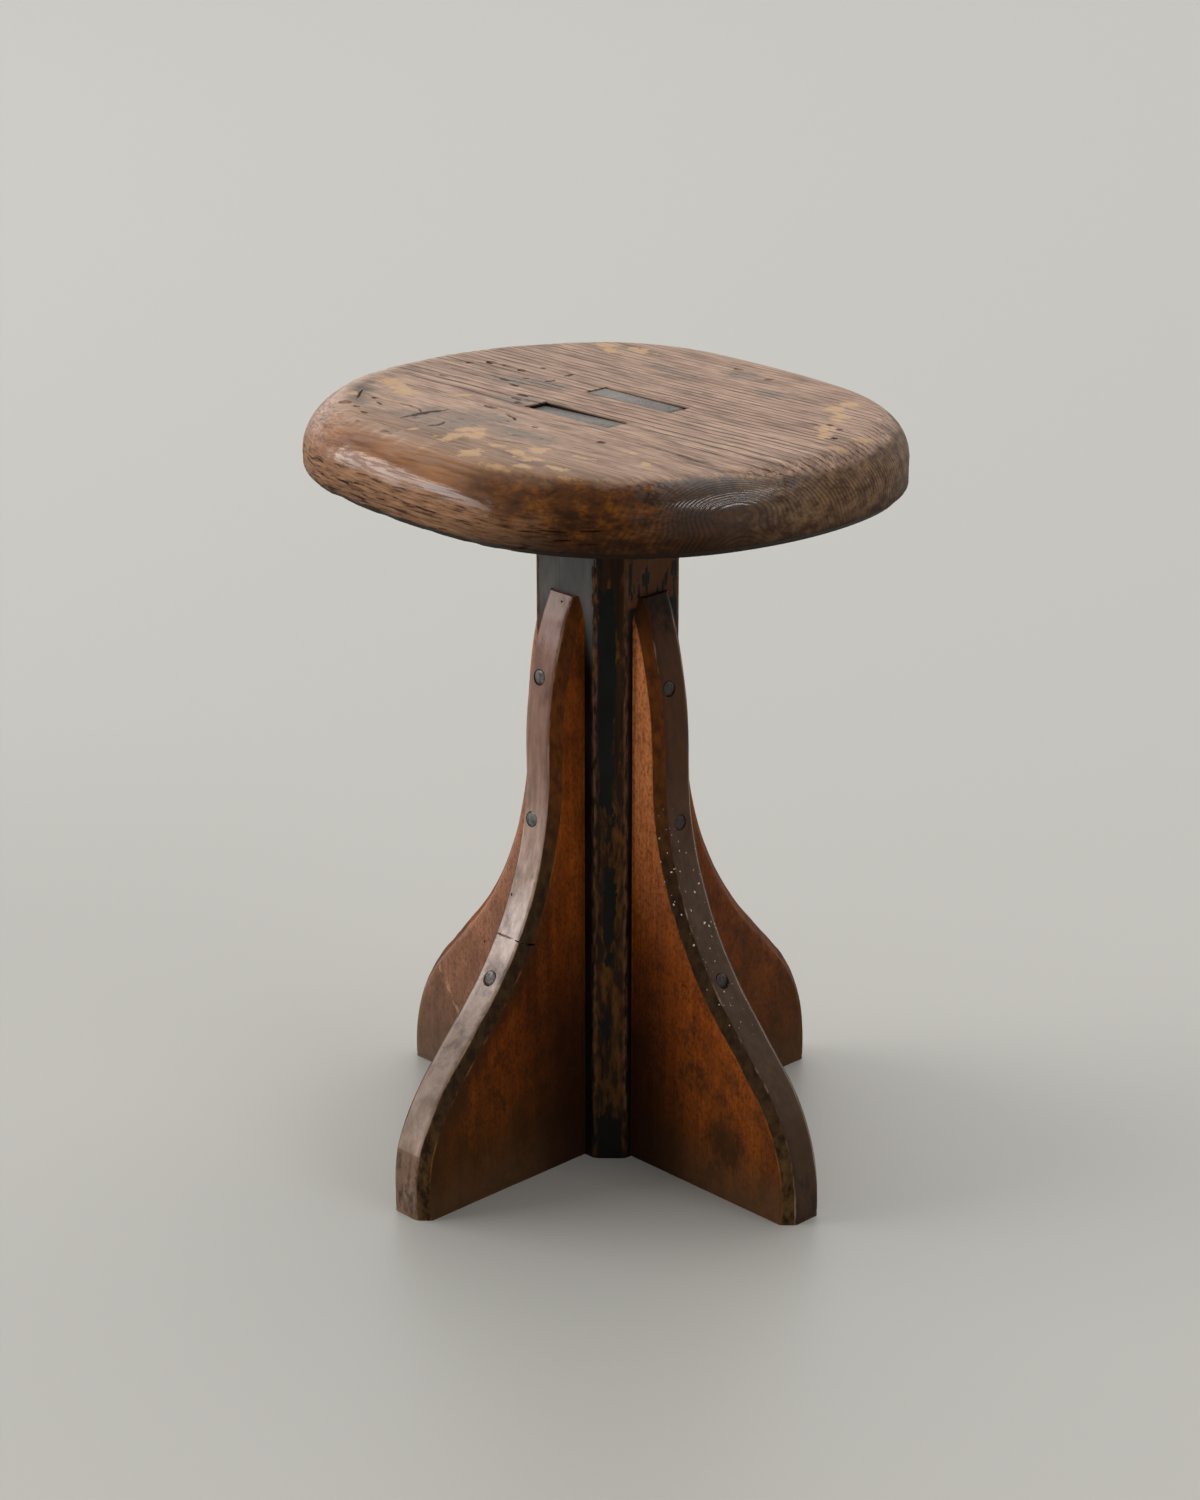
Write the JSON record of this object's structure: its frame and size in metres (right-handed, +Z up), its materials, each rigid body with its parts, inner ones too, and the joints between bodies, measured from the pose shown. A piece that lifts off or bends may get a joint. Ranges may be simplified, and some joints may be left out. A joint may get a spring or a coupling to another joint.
{
  "type": "industrial stool",
  "caption": "Low wooden workshop stool: rounded oblong seat board through-tenoned onto a square chamfered post, propped by nailed ogee brackets that serve as its feet.",
  "frame": {"origin": "on the floor, at the middle of the post's foot", "axes": "+Z up to the seat; +X along the seat's grain and the tenons, towards the right bracket; -Y towards the front bracket"},
  "size_m": [0.3532, 0.327, 0.455],
  "materials": {
    "seat_board": "open-grained ring-porous hardwood, top worn bare and grey, varnish left on the rim",
    "painted_post": "black paint worn through to brown wood on the chamfers",
    "bracket_wood": "old orange-brown varnish, handled and grimy along the edges",
    "nail_iron": "dark oxidised iron"
  },
  "bodies": {
    "root": {"seat": "seat_board", "post": "painted_post", "bracket_front": "bracket_wood", "bracket_right": "bracket_wood", "bracket_back": "bracket_wood", "bracket_left": "bracket_wood", "upper_nails": "nail_iron", "middle_nails": "nail_iron", "lower_nails": "nail_iron"}
  },
  "joints": []
}
